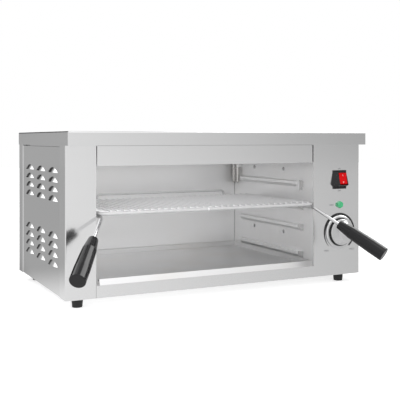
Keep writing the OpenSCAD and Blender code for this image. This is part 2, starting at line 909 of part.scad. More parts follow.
// Ceramic collars and studs on the element ends
module element_terminals() color([0.9, 0.88, 0.84]) {
  for (y = element_legs) {
    along_x([element_end, y, element_zc], element_d + 2, 5);
    along_x([element_end + 5, y, element_zc], 4, 12);
    translate([element_end + 8, y, element_zc]) rotate([0, 90, 0])
      cylinder(d = 7 / cos(30), h = 3.2, $fn = 6);
  }
}

// ---------------------------------------------------------------- controls

// Capillary thermostat behind the panel
module thermostat_body() color([0.85, 0.83, 0.78]) {
  size = thermostat_size;
  difference() {
    union() {
      box([control_x - 21, panel_back, knob_zc - 9], [control_x + 21, panel_back + 2, knob_zc + 9]);
      box([control_x - size.x / 2, panel_back + 2, knob_zc - size.z / 2],
          [control_x + size.x / 2, panel_back + size.y, knob_zc + size.z / 2]);
      for (x = [-11, 0, 11], z = [-8, 8])
        box([control_x + x - 3.2, panel_back + size.y, knob_zc + z - 0.4],
            [control_x + x + 3.2, panel_back + size.y + 8, knob_zc + z + 0.4]);
    }
    along_y([control_x, panel_back - over, knob_zc], shaft_d + 2 * run_fit, shaft_in + over);
    for (s = [-1, 1])
      along_y([control_x + s * thermostat_screw_step / 2, panel_back - over, knob_zc], screw_d, 10);
  }
}

module thermostat_screws() color(bright) {
  for (s = [-1, 1])
    translate([control_x + s * thermostat_screw_step / 2, front, knob_zc]) rotate([-90, 0, 0])
      flat_screw();
}

// Low cheese-head screw that stays behind the dial ring
module flat_screw() {
  translate([0, 0, -0.7]) cylinder(d = 2 * screw_d - 1, h = 0.7);
  cylinder(d = screw_d - 0.4, h = 7);
}

// Shaft with a flat for the knob
module thermostat_shaft() color(steel) {
  difference() {
    along_y([control_x, front - shaft_out, knob_zc], shaft_d, shaft_out + sheet + shaft_in - 0.5);
    box([control_x - shaft_d, front - shaft_out - over, knob_zc + shaft_flat],
        [control_x + shaft_d, front, knob_zc + shaft_d]);
  }
}

// Places the pieces of the knob: +Z points out of the panel and starts at the back of the dial ring
module on_knob() {
  translate([control_x, front - knob_gap, knob_zc]) rotate([90, 0, 0]) children();
}

// Bright dial ring with a bevelled edge and a floor under the hub
module dial_ring() color(bright) {
  outer = dial_d / 2;
  inner = hub_foot_d / 2 + slide_gap;
  on_knob() rotate_extrude() polygon([
    [boss_d, 0], [outer - 0.6, 0], [outer, 0.6], [outer, 1.2], [outer - 2, dial_t],
    [inner, dial_t], [inner, dial_floor], [boss_d, dial_floor]
  ]);
}

// Black moulded hub between the dial ring and the face, with the socket for the shaft
module knob_hub() color(black) {
  on_knob() difference() {
    rotate_extrude() polygon([
      [0, 0], [boss_d, 0], [boss_d, dial_floor], [hub_foot_d / 2, dial_floor],
      [knob_face_d / 2, hub_top], [boss_d / 2, hub_top], [boss_d / 2, boss_top], [0, boss_top]
    ]);
    intersection() {
      translate([0, 0, -over]) cylinder(d = shaft_d + 2 * run_fit, h = boss_top + 2 * over);
      box([-shaft_d, -shaft_d, -over], [shaft_d, shaft_flat + run_fit, boss_top + over]);
    }
  }
}

// Silver face with a grip bar across it, pressed on the hub's boss
module knob_cap() color(bright) {
  r = knob_face_d / 2 - 0.5;
  face = hub_top + 1.5;
  low_end = face + 3;
  on_knob() difference() {
    union() {
      rotate_extrude() polygon([[0, hub_top], [r, hub_top], [r, face - 0.8], [r - 0.8, face], [0, face]]);
      intersection() {
        cylinder(d = bar_l, h = bar_top);
        rotate([90, 0, 90]) translate([0, 0, -bar_w / 2]) linear_extrude(bar_w)
          polygon([[-r, hub_top], [r, hub_top], [r, low_end], [r - 8, bar_top], [8 - r, bar_top],
                   [-r, low_end]]);
        rotate([90, 0, 0]) translate([0, 0, -r]) linear_extrude(2 * r)
          polygon([[-bar_w / 2, 0], [bar_w / 2, 0], [bar_w / 2 - 1.5, bar_top],
                   [1.5 - bar_w / 2, bar_top]]);
      }
    }
    translate([0, 0, hub_top - over]) cylinder(d = boss_d, h = boss_top - hub_top + over + 0.1);
    translate([0, 0, hub_top]) cylinder(d = shaft_d + 1, h = shaft_out - knob_gap - hub_top + 1);
  }
}

// Black switch body: a flange on the panel, a guard that leans out downwards, and the works behind
module switch_body() color(black) {
  w = switch_w / 2;
  h = switch_h / 2;
  well = rocker_r + rocker_gap;
  wide = w + guard_flare;
  face_w = rocker_w / 2 + rocker_gap + guard_rim - 0.7;
  face_h = well + guard_rim;
  difference() {
    union() {
      box([control_x - w, front - 2, switch_zc - h], [control_x + w, front, switch_zc + h]);
      translate([control_x, front, switch_zc]) hull() {
        rotate([90, 0, 0]) linear_extrude(1)
          polygon([[-w, h - 2], [w, h - 2], [wide, -0.38 * h], [wide, -0.52 * h], [w - 1, 3 - h],
                   [1 - w, 3 - h], [-wide, -0.52 * h], [-wide, -0.38 * h]]);
        translate([0, 1 - guard_out, rocker_up]) rotate([90 - guard_lean, 0, 0]) linear_extrude(1)
          polygon([[-face_w, face_h], [face_w, face_h], [face_w + 1, -face_h + 2], [face_w, -face_h + 1],
                   [-face_w, -face_h + 1], [-face_w - 1, -face_h + 2]]);
      }
      box([control_x - w + 2.8, front - over, switch_zc - h + 2.8],
          [control_x + w - 2.8, panel_back + 24, switch_zc + h - 2.8]);
      for (x = [-5, 5], z = [-9, 0, 9])
        box([control_x + x - 0.4, panel_back + 24, switch_zc + z - 3.2],
            [control_x + x + 0.4, panel_back + 32, switch_zc + z + 3.2]);
    }
    box([control_x - rocker_w / 2 - rocker_gap, front - 40, switch_zc + rocker_up - well],
        [control_x + rocker_w / 2 + rocker_gap, rocker_y + well, switch_zc + rocker_up + well]);
    along_x([control_x - rocker_w / 2 - rocker_pin_l - 0.2, rocker_y, switch_zc + rocker_up],
      rocker_pin_d + 2 * run_fit, rocker_w + 2 * rocker_pin_l + 0.4);
  }
}

// Red rocker: a barrel about its pins, dished by two flat faces that meet at its middle. It lies in
// line with its leaning guard, with its lower end pressed in
module switch_rocker() color([0.84, 0.04, 0.06]) {
  translate([control_x, rocker_y, switch_zc + rocker_up]) rotate([rocker_tilt - guard_lean, 0, 0]) {
    difference() {
      along_x([-rocker_w / 2, 0, 0], 2 * rocker_r, rocker_w);
      intersection_for(s = [-1, 1]) rotate([s * rocker_tilt, 0, 0])
        box([-rocker_w, -2 * rocker_r, -2 * rocker_r], [rocker_w, -rocker_face, 2 * rocker_r]);
      box([-rocker_w, 5, -2 * rocker_r], [rocker_w, 2 * rocker_r, 2 * rocker_r]);
    }
    along_x([-rocker_w / 2 - rocker_pin_l, 0, 0], rocker_pin_d, rocker_w + 2 * rocker_pin_l);
  }
}

// Green six-sided lens with a shallow dome, a corner upwards
module indicator_lens() color([0.25, 0.75, 0.5]) {
  translate([control_x, front, lamp_zc]) rotate([90, 0, 0]) intersection() {
    rotate([0, 0, 90]) cylinder(d1 = lamp_d, d2 = lamp_d - 1.6, h = lens_out, $fn = 6);
    translate([0, 0, lens_out - 24]) sphere(r = 24);
  }
}

// Lamp holder behind the panel, with its nut and two blades
module indicator_body() color(black) {
  y = panel_back;
  along_y([control_x, front, lamp_zc], lamp_body_d - 0.2, 22);
  translate([control_x, y, lamp_zc]) rotate([-90, 0, 0]) cylinder(d = 17 / cos(30), h = 4, $fn = 6);
  for (x = [-3, 3]) box([control_x + x - 0.4, front + 22, lamp_zc - 2.4],
                        [control_x + x + 0.4, front + 29, lamp_zc + 2.4]);
}

// Manual-reset limit thermostat on the inner wall
module limit_thermostat() color([0.85, 0.83, 0.78]) {
  y = wall_back - 81;
  z = rack_rib + 20;
  face = open_r + sheet;
  box([face, y - 16, z - 16], [face + 22, y + 16, z + 16]);
  box([face, y - 24, z - 5], [face + 1.5, y + 24, z + 5]);
  along_x([face + 22, y, z], 8, 5);
}

// Vertical phial with a capillary out through the wall
module phial(y) {
  translate([phial_x, y, phial_top - phial_l]) {
    cylinder(d = phial_d, h = phial_l - 4);
    sphere(d = phial_d);
    translate([0, 0, phial_l - 4]) cylinder(d1 = phial_d, d2 = capillary_d, h = 4);
  }
  bent_bar([[phial_x, y, phial_top - 0.5], [phial_x, y, capillary_z],
            [open_r + sheet + 14, y, capillary_z]], capillary_r, capillary_d);
}

module thermostat_phial() color([0.62, 0.6, 0.55]) {
  phial(phial_y[1]);
}

module limit_phial() color([0.62, 0.6, 0.55]) {
  phial(phial_y[0]);
}

// Spring clips that hold the phials to the wall
module phial_clips() color(steel) {
  z = phial_top - phial_l / 2;
  for (y = phial_y) translate([phial_x, y, z]) difference() {
    union() {
      cylinder(d = phial_d + 1.6, h = 8);
      box([0, -phial_d / 2 - 0.8, 0], [open_r - phial_x, phial_d / 2 + 0.8, 8]);
    }
    translate([0, 0, -over]) cylinder(d = phial_d + 0.1, h = 8 + 2 * over);
    box([-phial_d, -2.4, -over], [0, 2.4, 8 + over]);
  }
}

// Ceramic terminal block on the base of the control compartment
module terminal_block() color([0.9, 0.88, 0.84]) {
  x = open_r + control_w / 2;
  y = back - 70;
  z = base + sheet;
  difference() {
    box([x - 22, y - 12, z], [x + 22, y + 12, z + 18]);
    for (i = [-1 : 1]) {
      box([x + i * 14 - 5, y - 12 - over, z + 10], [x + i * 14 + 5, y - 5, z + 18 + over]);
      box([x + i * 14 - 5, y + 5, z + 10], [x + i * 14 + 5, y + 12 + over, z + 18 + over]);
    }
  }
}

// Cable gland in the rear panel, open for the mains cord
module cable_gland() color(black) {
  difference() {
    union() {
      along_y([gland_x, back - sheet - 10, gland_z], gland_d - 4.4, sheet + 10);
      translate([gland_x, back, gland_z]) rotate([-90, 0, 0])
        cylinder(d = (gland_d + 4) / cos(30), h = 5, $fn = 6);
      translate([gland_x, back + 5, gland_z]) rotate([-90, 0, 0]) rotate_extrude() polygon([
        [0, 0], [gland_d / 2, 0], [gland_d / 2, 8], [gland_d / 2 - 3, 12], [0, 12]
      ]);
    }
    along_y([gland_x, back - sheet - 10 - over, gland_z], cord_hole, 40);
  }
}

module gland_nut() color(black) {
  translate([gland_x, back - sheet - 4, gland_z]) rotate([-90, 0, 0])
    hex_nut(gland_d + 3, 4, gland_d - 4.2);
}

// ---------------------------------------------------------------- feet

// Tapered rubber foot with a pocket for its screw head
module foot(p) {
  translate([p.x, p.y, 0]) difference() {
    cylinder(d1 = foot_low_d, d2 = foot_top_d, h = foot_h);
    translate([0, 0, -over]) cylinder(d = foot_pocket_d, h = foot_pocket + over);
    translate([0, 0, -over]) cylinder(d = foot_bore, h = foot_h + 2 * over);
  }
}

module front_left_foot() color(black) {
  foot(foot_spots[0]);
}

module rear_left_foot() color(black) {
  foot(foot_spots[1]);
}

module front_right_foot() color(black) {
  foot(foot_spots[2]);
}

module rear_right_foot() color(black) {
  foot(foot_spots[3]);
}

module foot_screws() color(bright) {
  for (p = foot_spots) translate([p.x, p.y, foot_pocket])
    pan_screw(screw_d, foot_h - foot_pocket + sheet + 5);
}

module foot_nuts() color(bright) {
  for (p = foot_spots) translate([p.x, p.y, base + sheet]) hex_nut(7, 3.2, screw_d + 0.1);
}

// ---------------------------------------------------------------- assembly

top_cover();
top_deck();
left_front_column();
control_panel();
header_panel();
left_side_panel();
right_side_panel();
rear_panel();
base_panel();
inner_left_wall();
inner_right_wall();
inner_back_wall();
cavity_floor();
reflector_plate();
crumb_tray();
rack_frame();
rack_cross_wires();
rack_long_wires();
rack_guard_rail();
left_handle_arm();
right_handle_arm();
left_handle_grip();
right_handle_grip();
front_element();
rear_element();
left_element_hanger();
right_element_hanger();
element_ferrules();
element_terminals();
thermostat_body();
thermostat_shaft();
thermostat_phial();
limit_thermostat();
limit_phial();
phial_clips();
dial_ring();
knob_hub();
knob_cap();
switch_body();
switch_rocker();
indicator_lens();
indicator_body();
terminal_block();
cable_gland();
gland_nut();
front_left_foot();
front_right_foot();
rear_left_foot();
rear_right_foot();
foot_screws();
foot_nuts();
wall_screws();
rear_screws();
hanger_screws();
thermostat_screws();
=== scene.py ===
import math

import bmesh
import bpy
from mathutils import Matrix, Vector
from mathutils.bvhtree import BVHTree


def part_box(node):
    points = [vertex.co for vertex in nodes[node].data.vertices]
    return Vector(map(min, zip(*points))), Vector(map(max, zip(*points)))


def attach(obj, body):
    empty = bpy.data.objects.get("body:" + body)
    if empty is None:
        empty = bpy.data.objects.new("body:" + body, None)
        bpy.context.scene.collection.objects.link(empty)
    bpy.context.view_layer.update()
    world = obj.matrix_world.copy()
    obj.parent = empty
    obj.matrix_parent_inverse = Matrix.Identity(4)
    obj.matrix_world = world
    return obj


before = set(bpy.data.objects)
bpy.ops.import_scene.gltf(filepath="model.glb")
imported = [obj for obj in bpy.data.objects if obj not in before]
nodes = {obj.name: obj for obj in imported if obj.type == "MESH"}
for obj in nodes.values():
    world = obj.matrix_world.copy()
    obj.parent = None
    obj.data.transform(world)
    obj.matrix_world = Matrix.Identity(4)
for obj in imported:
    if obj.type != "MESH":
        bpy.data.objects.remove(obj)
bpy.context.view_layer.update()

MM = 0.001

# ---------------------------------------------------------------- camera

camera_data = bpy.data.cameras.new("camera")
camera_data.lens = 66.94
camera_data.sensor_width = 36.0
camera_data.shift_x = 0.0
camera_data.shift_y = -0.1526
camera = bpy.data.objects.new("camera", camera_data)
camera.location = (-0.6506, -1.3716, 0.2871)
camera.rotation_euler = (math.radians(90), 0, math.radians(-26.35))
bpy.context.scene.collection.objects.link(camera)
bpy.context.scene.camera = camera
bpy.context.scene.view_settings.view_transform = "Standard"


# ---------------------------------------------------------------- node helpers

class Tree:
    """Short calls for building a node tree."""

    def __init__(self, owner):
        owner.use_nodes = True
        self.tree = owner.node_tree
        self.tree.nodes.clear()

    def node(self, kind, **settings):
        made = self.tree.nodes.new(kind)
        for key, value in settings.items():
            setattr(made, key, value)
        return made

    def link(self, source, target):
        self.tree.links.new(source, target)

    def feed(self, target, value):
        if isinstance(value, bpy.types.NodeSocket):
            self.link(value, target)
        elif value is not None:
            target.default_value = value

    def math(self, operation, a, b=None):
        made = self.node("ShaderNodeMath", operation=operation)
        for socket, value in zip(made.inputs, (a, b)):
            self.feed(socket, value)
        return made.outputs[0]

    def vector(self, operation, a, b=None):
        made = self.node("ShaderNodeVectorMath", operation=operation)
        self.feed(made.inputs[0], a)
        self.feed(made.inputs[1], b)
        return made.outputs["Value"] if operation in ("DOT_PRODUCT", "LENGTH") else made.outputs[0]

    def smooth(self, value, low, high, to_low=0.0, to_high=1.0):
        made = self.node("ShaderNodeMapRange", interpolation_type="SMOOTHSTEP")
        self.feed(made.inputs["Value"], value)
        self.feed(made.inputs["From Min"], low)
        self.feed(made.inputs["From Max"], high)
        self.feed(made.inputs["To Min"], to_low)
        self.feed(made.inputs["To Max"], to_high)
        return made.outputs[0]

    def mix(self, factor, a, b):
        made = self.node("ShaderNodeMix", data_type="RGBA")
        self.feed(made.inputs["Factor"], factor)
        self.feed(made.inputs[6], a)
        self.feed(made.inputs[7], b)
        return made.outputs[2]

    def mix_value(self, factor, a, b):
        made = self.node("ShaderNodeMix", data_type="FLOAT")
        self.feed(made.inputs[0], factor)
        self.feed(made.inputs[2], a)
        self.feed(made.inputs[3], b)
        return made.outputs[0]

    def coords(self, scale=(1, 1, 1), offset=(0, 0, 0)):
        source = self.node("ShaderNodeTexCoord").outputs["Object"]
        made = self.node("ShaderNodeMapping")
        made.inputs["Scale"].default_value = scale
        made.inputs["Location"].default_value = offset
        self.link(source, made.inputs["Vector"])
        return made.outputs[0]

    def noise(self, vector, detail=3.0, rough=0.55):
        made = self.node("ShaderNodeTexNoise")
        self.link(vector, made.inputs["Vector"])
        made.inputs["Scale"].default_value = 1.0
        made.inputs["Detail"].default_value = detail
        made.inputs["Roughness"].default_value = rough
        return made.outputs["Fac"]

    def bump(self, height, strength, distance):
        made = self.node("ShaderNodeBump")
        made.inputs["Strength"].default_value = strength
        made.inputs["Distance"].default_value = distance
        self.link(height, made.inputs["Height"])
        return made.outputs[0]

    def surface(self, color, metallic, roughness, normal=None, **fixed):
        shader = self.node("ShaderNodeBsdfPrincipled")
        self.feed(shader.inputs["Base Color"], color)
        shader.inputs["Metallic"].default_value = metallic
        self.feed(shader.inputs["Roughness"], roughness)
        if normal is not None:
            self.link(normal, shader.inputs["Normal"])
        for key, value in fixed.items():
            shader.inputs[key.replace("_", " ")].default_value = value
        self.link(shader.outputs[0], self.node("ShaderNodeOutputMaterial").inputs[0])
        return shader


def grey(value):
    return (value, value, value, 1.0)


def tinted(t, level, tint):
    """Colour made of one level times a fixed tint."""
    made = t.node("ShaderNodeCombineColor")
    for socket, part in zip(made.inputs, tint):
        t.feed(socket, t.math("MULTIPLY", level, part))
    return made.outputs[0]


def around(t, value, size):
    """Noise value turned into a swing of the given size about nothing."""
    return t.math("MULTIPLY", t.math("SUBTRACT", value, 0.5), size)


def steel(name, base, rough, grain=0.012, streak=0.02, cloud=0.03, tint=(1.0, 1.0, 1.003),
          heat=0.0, metal=1.0, painted_front_shade=0.0):
    """Stainless sheet with a fine grain, faint streaks, cloudy handling marks and heat tint.

    The grain runs level on upright faces. Faces that look to the front can get a painted shade,
    darker by the given share.
    """
    material = bpy.data.materials.new(name)
    t = Tree(material)
    split = t.node("ShaderNodeSeparateXYZ")
    t.link(t.node("ShaderNodeNewGeometry").outputs["Normal"], split.inputs[0])
    level_face = t.smooth(t.math("ABSOLUTE", split.outputs["Z"]), 0.5, 0.8)
    fine = t.mix_value(level_face, t.noise(t.coords((12, 12, 2600)), 4.0, 0.6),
                       t.noise(t.coords((12, 2600, 12)), 4.0, 0.6))
    broad = t.mix_value(level_face, t.noise(t.coords((1.2, 1.2, 90), (3, 5, 0))),
                        t.noise(t.coords((1.2, 90, 1.2), (3, 0, 5))))
    marks = t.noise(t.coords((5, 5, 5), (1, 2, 3)), 4.0)
    shade = t.math("ADD", around(t, fine, grain), around(t, broad, streak))
    shade = t.math("ADD", shade, around(t, marks, cloud))
    level = t.math("MULTIPLY", t.math("ADD", shade, 1.0), base)
    # Painted shade: faces whose normal looks to the front are made darker by the given share
    if painted_front_shade:
        front_shade_factor = t.smooth(split.outputs["Y"], -0.3, -0.6, 1.0, 1.0 - painted_front_shade)
        level = t.math("MULTIPLY", level, front_shade_factor)
    color = tinted(t, level, tint)
    if heat:
        warm = t.smooth(t.noise(t.coords((7, 7, 4), (8, 1, 2))), 0.42, 0.7, 0.0, heat)
        color = t.mix(warm, color, (base * 0.86, base * 0.74, base * 0.58, 1.0))
    gloss = t.math("ADD", t.math("ADD", around(t, fine, 0.05), around(t, marks, 0.05)), rough)
    t.surface(color, metal, gloss, t.bump(fine, 0.06, 0.04 * MM))
    return material


def plated(name, base, rough, tint=(1.0, 1.0, 1.01), metal=1.0, painted_shade_right=0.0):
    """Plated wire: nearly smooth, with faint draw lines and small spots, and a painted shade that
    can darken it towards the right.
    """
    material = bpy.data.materials.new(name)
    t = Tree(material)
    spots = t.noise(t.coords((90, 90, 90)), 4.0)
    lines = t.noise(t.coords((700, 700, 700), (2, 4, 6)), 2.0)
    level = t.math("MULTIPLY", t.math("ADD", around(t, spots, 0.12), 1.0), base)
    # Painted shade: the colour falls off towards +X by the given share
    if painted_shade_right:
        split = t.node("ShaderNodeSeparateXYZ")
        t.link(t.coords(), split.inputs[0])
        right_shade = t.smooth(split.outputs["X"], -0.22, 0.16, 1.05, 1.05 - painted_shade_right)
        level = t.math("MULTIPLY", level, right_shade)
    color = tinted(t, level, tint)
    gloss = t.math("ADD", around(t, spots, 0.12), rough)
    t.surface(color, metal, gloss, t.bump(lines, 0.1, 0.04 * MM))
    return material


def moulded(name, color, rough, grain=0.25, scale=900, spread=0.2, coat=0.0, specular=0.5,
            dust=0.0):
    """Moulded plastic or rubber: a fine grained skin with uneven gloss and a little dust."""
    material = bpy.data.materials.new(name)
    t = Tree(material)
    skin = t.noise(t.coords((scale, scale, scale)), 2.0)
    cloud = t.noise(t.coords((14, 14, 14), (5, 1, 7)), 4.0)
    low = tuple(part * (1 - spread) for part in color) + (1.0,)
    high = tuple(part * (1 + spread) + dust for part in color) + (1.0,)
    shade = t.math("ADD", t.math("MULTIPLY", skin, 0.35), t.math("MULTIPLY", cloud, 0.65))
    tone = t.mix(shade, low, high)
    gloss = t.math("ADD", around(t, cloud, 0.16), rough)
    t.surface(tone, 0.0, gloss, t.bump(skin, grain, 0.12 * MM), Coat_Weight=coat,
              Coat_Roughness=0.08, Specular_IOR_Level=specular)
    return material


def dress(names, material):
    for name in names:
        for slot in nodes[name].material_slots:
            slot.material = material


# ---------------------------------------------------------------- materials of the CAD nodes

casing = steel("casing_steel", 0.87, 0.15)
side_sheet = steel("side_steel", 0.82, 0.11)
cap_sheet = steel("cap_steel", 0.85, 0.14)
cavity = steel("cavity_steel", 0.95, 0.30, heat=0.05, metal=0.7)
# The rib walls get a painted shade, 55% darker on faces that look to the front
ribbed = steel("rib_wall_steel", 0.97, 0.30, heat=0.05, metal=0.6, painted_front_shade=0.55)
roof = steel("roof_steel", 0.95, 0.16, heat=0.2)
tray_sheet = steel("tray_steel", 0.86, 0.32, heat=0.14)
# The rack's wire and rod get a painted shade that makes them darker towards the right
wire = plated("rack_wire", 0.97, 0.30, metal=0.25, painted_shade_right=0.3)
rod = plated("rack_rod", 0.66, 0.40, metal=0.35, painted_shade_right=0.15)
arm = plated("arm_wire", 0.74, 0.12, metal=1.0)
grip = moulded("grip_plastic", (0.006, 0.006, 0.007), 0.13, grain=0.03, scale=1400, spread=0.25,
               specular=0.42)
black = moulded("black_plastic", (0.009, 0.009, 0.010), 0.25, grain=0.1, scale=1600)
rubber = moulded("foot_rubber", (0.010, 0.010, 0.010), 0.5, grain=0.3, scale=1200, dust=0.003)
red = moulded("rocker_red", (0.56, 0.002, 0.004), 0.25, grain=0.05, scale=900, spread=0.12,
              specular=0.15)
green = moulded("lens_green", (0.055, 0.44, 0.19), 0.2, grain=0.05, scale=900, spread=0.3,
                coat=0.5)
silver = steel("knob_silver", 0.84, 0.30, grain=0.03)
ceramic = moulded("ceramic", (0.78, 0.74, 0.66), 0.4, grain=0.15, scale=1500, spread=0.05)
sheath = steel("element_sheath", 0.30, 0.5, tint=(1.0, 0.93, 0.88), heat=0.5)
brass = plated("brass_fittings", 0.66, 0.3, tint=(1.0, 0.78, 0.42))
zinc = plated("zinc_screws", 0.74, 0.25)
tube = plated("phial_tube", 0.72, 0.2, tint=(1.0, 0.98, 0.95))

dress(["left_front_column", "control_panel", "header_panel"], casing)
dress(["left_side_panel", "right_side_panel", "rear_panel", "base_panel", "top_deck"], side_sheet)
dress(["top_cover"], cap_sheet)
dress(["inner_back_wall", "cavity_floor", "phial_clips"], cavity)
dress(["inner_left_wall", "inner_right_wall"], ribbed)
dress(["reflector_plate", "left_element_hanger", "right_element_hanger"], roof)
dress(["crumb_tray"], tray_sheet)
dress(["rack_cross_wires", "rack_long_wires"], wire)
dress(["rack_frame", "rack_guard_rail"], rod)
dress(["left_handle_arm", "right_handle_arm"], arm)
dress(["left_handle_grip", "right_handle_grip"], grip)
dress(["knob_hub", "switch_body", "indicator_body", "cable_gland", "gland_nut"], black)
dress(["front_left_foot", "front_right_foot", "rear_left_foot", "rear_right_foot"], rubber)
dress(["switch_rocker"], red)
dress(["indicator_lens"], green)
dress(["dial_ring", "knob_cap"], silver)
dress(["element_terminals", "thermostat_body", "limit_thermostat", "terminal_block"], ceramic)
dress(["front_element", "rear_element"], sheath)
dress(["element_ferrules"], brass)
dress(["thermostat_shaft", "foot_screws", "foot_nuts", "wall_screws", "rear_screws",
       "hanger_screws", "thermostat_screws"], zinc)
dress(["thermostat_phial", "limit_phial"], tube)


# ---------------------------------------------------------------- pieces

def centre(node):
    """Middle of a node's box across X and Z."""
    low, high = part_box(node)
    return (low.x + high.x) / 2, (low.z + high.z) / 2


def placed(name, mesh, body):
    """Object that shows a mesh and rides on a body."""
    made = bpy.data.objects.new(name, mesh)
    bpy.context.scene.collection.objects.link(made)
    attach(made, body)
    return made


def piece(name, mesh_builder, material, body):
    """Adds a mesh piece whose vertices are in the shared frame, in metres."""
    shape = bmesh.new()
    mesh_builder(shape)
    bmesh.ops.recalc_face_normals(shape, faces=shape.faces)
    mesh = bpy.data.meshes.new(name)
    shape.to_mesh(mesh)
    shape.free()
    mesh.materials.append(material)
    return placed(name, mesh, body)


print_black = moulded("print_black", (0.02, 0.02, 0.021), 0.45, grain=0.05, spread=0.2)
print_grey = moulded("print_grey", (0.16, 0.16, 0.165), 0.5, grain=0.05, spread=0.2)
mark_white = moulded("mark_white", (0.85, 0.84, 0.82), 0.4, grain=0.05, spread=0.04)

knob_x, knob_z = centre("dial_ring")
lamp_z = centre("indicator_lens")[1]
switch_z = centre("switch_body")[1]
panel_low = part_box("control_panel")[0]
panel_y = panel_low.y


# Printed scale: outer radius and, by clock angle in degrees, its width, both in mm
SCALE_RADIUS = 37.7
SCALE_WIDTHS = [(-136, 0.7), (-115, 1.9), (-90, 3.3), (-45, 4.8), (0, 6.2), (50, 7.6), (100, 7.8),
                (141, 7.0)]
SCALE_STEPS = 96


def scale_width(angle):
    for (a0, w0), (a1, w1) in zip(SCALE_WIDTHS, SCALE_WIDTHS[1:]):
        if angle <= a1:
            return (w0 + (w1 - w0) * (angle - a0) / (a1 - a0)) * MM
    return SCALE_WIDTHS[-1][1] * MM


def dial_arc(shape):
    """Printed arc round the knob, thin at its lower left end and growing clockwise."""
    outer = SCALE_RADIUS * MM
    start, end = float(SCALE_WIDTHS[0][0]), float(SCALE_WIDTHS[-1][0])
    rows = []
    for i in range(SCALE_STEPS + 1):
        angle = start + (end - start) * i / SCALE_STEPS
        a = math.radians(angle)
        row = []
        for radius in (outer, outer - scale_width(angle)):
            x, z = knob_x + radius * math.sin(a), knob_z + radius * math.cos(a)
            for y in (panel_y + 0.02 * MM, panel_y - 0.06 * MM):
                row.append(shape.verts.new((x, y, z)))
        rows.append(row)
    for r0, r1 in zip(rows, rows[1:]):
        for i, j in ((0, 1), (1, 3), (3, 2), (2, 0)):
            shape.faces.new((r0[i], r0[j], r1[j], r1[i]))
    for row in (rows[0], rows[-1]):
        shape.faces.new((row[0], row[1], row[3], row[2]))


piece("dial_scale_print", dial_arc, print_black, "body")


def words(name, text, x, z, size, material):
    """Flat printed word on the panel, centred on a point, as a thin mesh."""
    curve = bpy.data.curves.new(name, "FONT")
    curve.body = text
    curve.size = size
    curve.align_x = "CENTER"
    curve.align_y = "CENTER"
    curve.extrude = 0.04 * MM
    holder = bpy.data.objects.new(name + "_text", curve)
    bpy.context.scene.collection.objects.link(holder)
    holder.rotation_euler = (math.radians(90), 0, 0)
    holder.location = (x, panel_y - 0.02 * MM, z)
    bpy.context.view_layer.update()
    evaluated = holder.evaluated_get(bpy.context.evaluated_depsgraph_get())
    mesh = bpy.data.meshes.new_from_object(evaluated)
    mesh.transform(holder.matrix_world)
    bpy.data.objects.remove(holder)
    mesh.name = name
    mesh.materials.clear()
    mesh.materials.append(material)
    return placed(name, mesh, "body")


def strip(name, low, high, material):
    """Thin straight line or seam of the body between two corners, with eased edges."""
    def build(shape):
        bmesh.ops.create_cube(shape, size=1.0)
        size = [b - a for a, b in zip(low, high)]
        middle = [(a + b) / 2 for a, b in zip(low, high)]
        bmesh.ops.scale(shape, vec=size, verts=shape.verts)
        bmesh.ops.translate(shape, vec=middle, verts=shape.verts)
        bmesh.ops.bevel(shape, geom=shape.edges[:], offset=min(size) * 0.2, segments=1,
                        affect="EDGES")
    return piece(name, build, material, "body")


# Dark seams, one of them also a painted shadow: across the front sheets they lie just proud of the
# panel's face
seam = moulded("seam_dark", (0.10, 0.10, 0.10), 0.5, grain=0.05, spread=0.3)
SEAM = 0.5 * MM
SEAM_FRONT, SEAM_BACK = panel_y - 0.05 * MM, panel_y + 0.1 * MM
wall_low, wall_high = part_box("inner_back_wall")
sill_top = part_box("cavity_floor")[1].z
roof_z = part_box("reflector_plate")[0].z
cap_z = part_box("top_cover")[0].z
strip("sill_joint", (wall_low.x - SEAM / 2, SEAM_FRONT, panel_low.z + 0.3 * MM),
      (wall_low.x + SEAM / 2, SEAM_BACK, sill_top - 0.2 * MM), seam)
# The line under the cap is the joint between cap and header, darkened as a painted shadow under the
# cap's edge
strip("header_joint_shadow", (wall_low.x + SEAM, SEAM_FRONT, cap_z - SEAM - 0.05 * MM),
      (wall_high.x - SEAM, SEAM_BACK, cap_z - 0.05 * MM), seam)
strip("corner_joint_right", (wall_high.x - SEAM, wall_low.y - SEAM, sill_top),
      (wall_high.x, wall_low.y, roof_z), seam)
strip("corner_joint_left", (wall_low.x, wall_low.y - SEAM, sill_top),
      (wall_low.x + SEAM, wall_low.y, roof_z), seam)


rack_low, rack_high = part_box("rack_frame")
rod_r = (rack_high.z - rack_low.z) / 2
CROSS_PITCH = 27 * MM
CROSS_R = 2 * MM
BEAD = (0.8 * MM, 2.0 * MM, 1.2 * MM)
BEADED_WIRES = 7


def beads(shape):
    """Small weld beads at both ends of the cross wires, apart from the rearmost wire."""
    cross_low, cross_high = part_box("rack_cross_wires")
    for i in range(BEADED_WIRES):
        y = cross_low.y + CROSS_R + i * CROSS_PITCH
        for x in (rack_low.x + 2 * rod_r, rack_high.x - 2 * rod_r):
            ball = bmesh.ops.create_icosphere(shape, subdivisions=1, radius=1.0)
            bmesh.ops.scale(shape, vec=BEAD, verts=ball["verts"])
            bmesh.ops.translate(shape, vec=(x, y, cross_high.z - CROSS_R), verts=ball["verts"])


piece("rack_weld_beads", beads, rod, "rack")

BUTT_X = -43 * MM
BUTT_PROFILE = ((-1.8, -0.1), (-1.0, 0.25), (0.0, 0.4), (1.0, 0.25), (1.8, -0.1))
BUTT_SIDES = 20


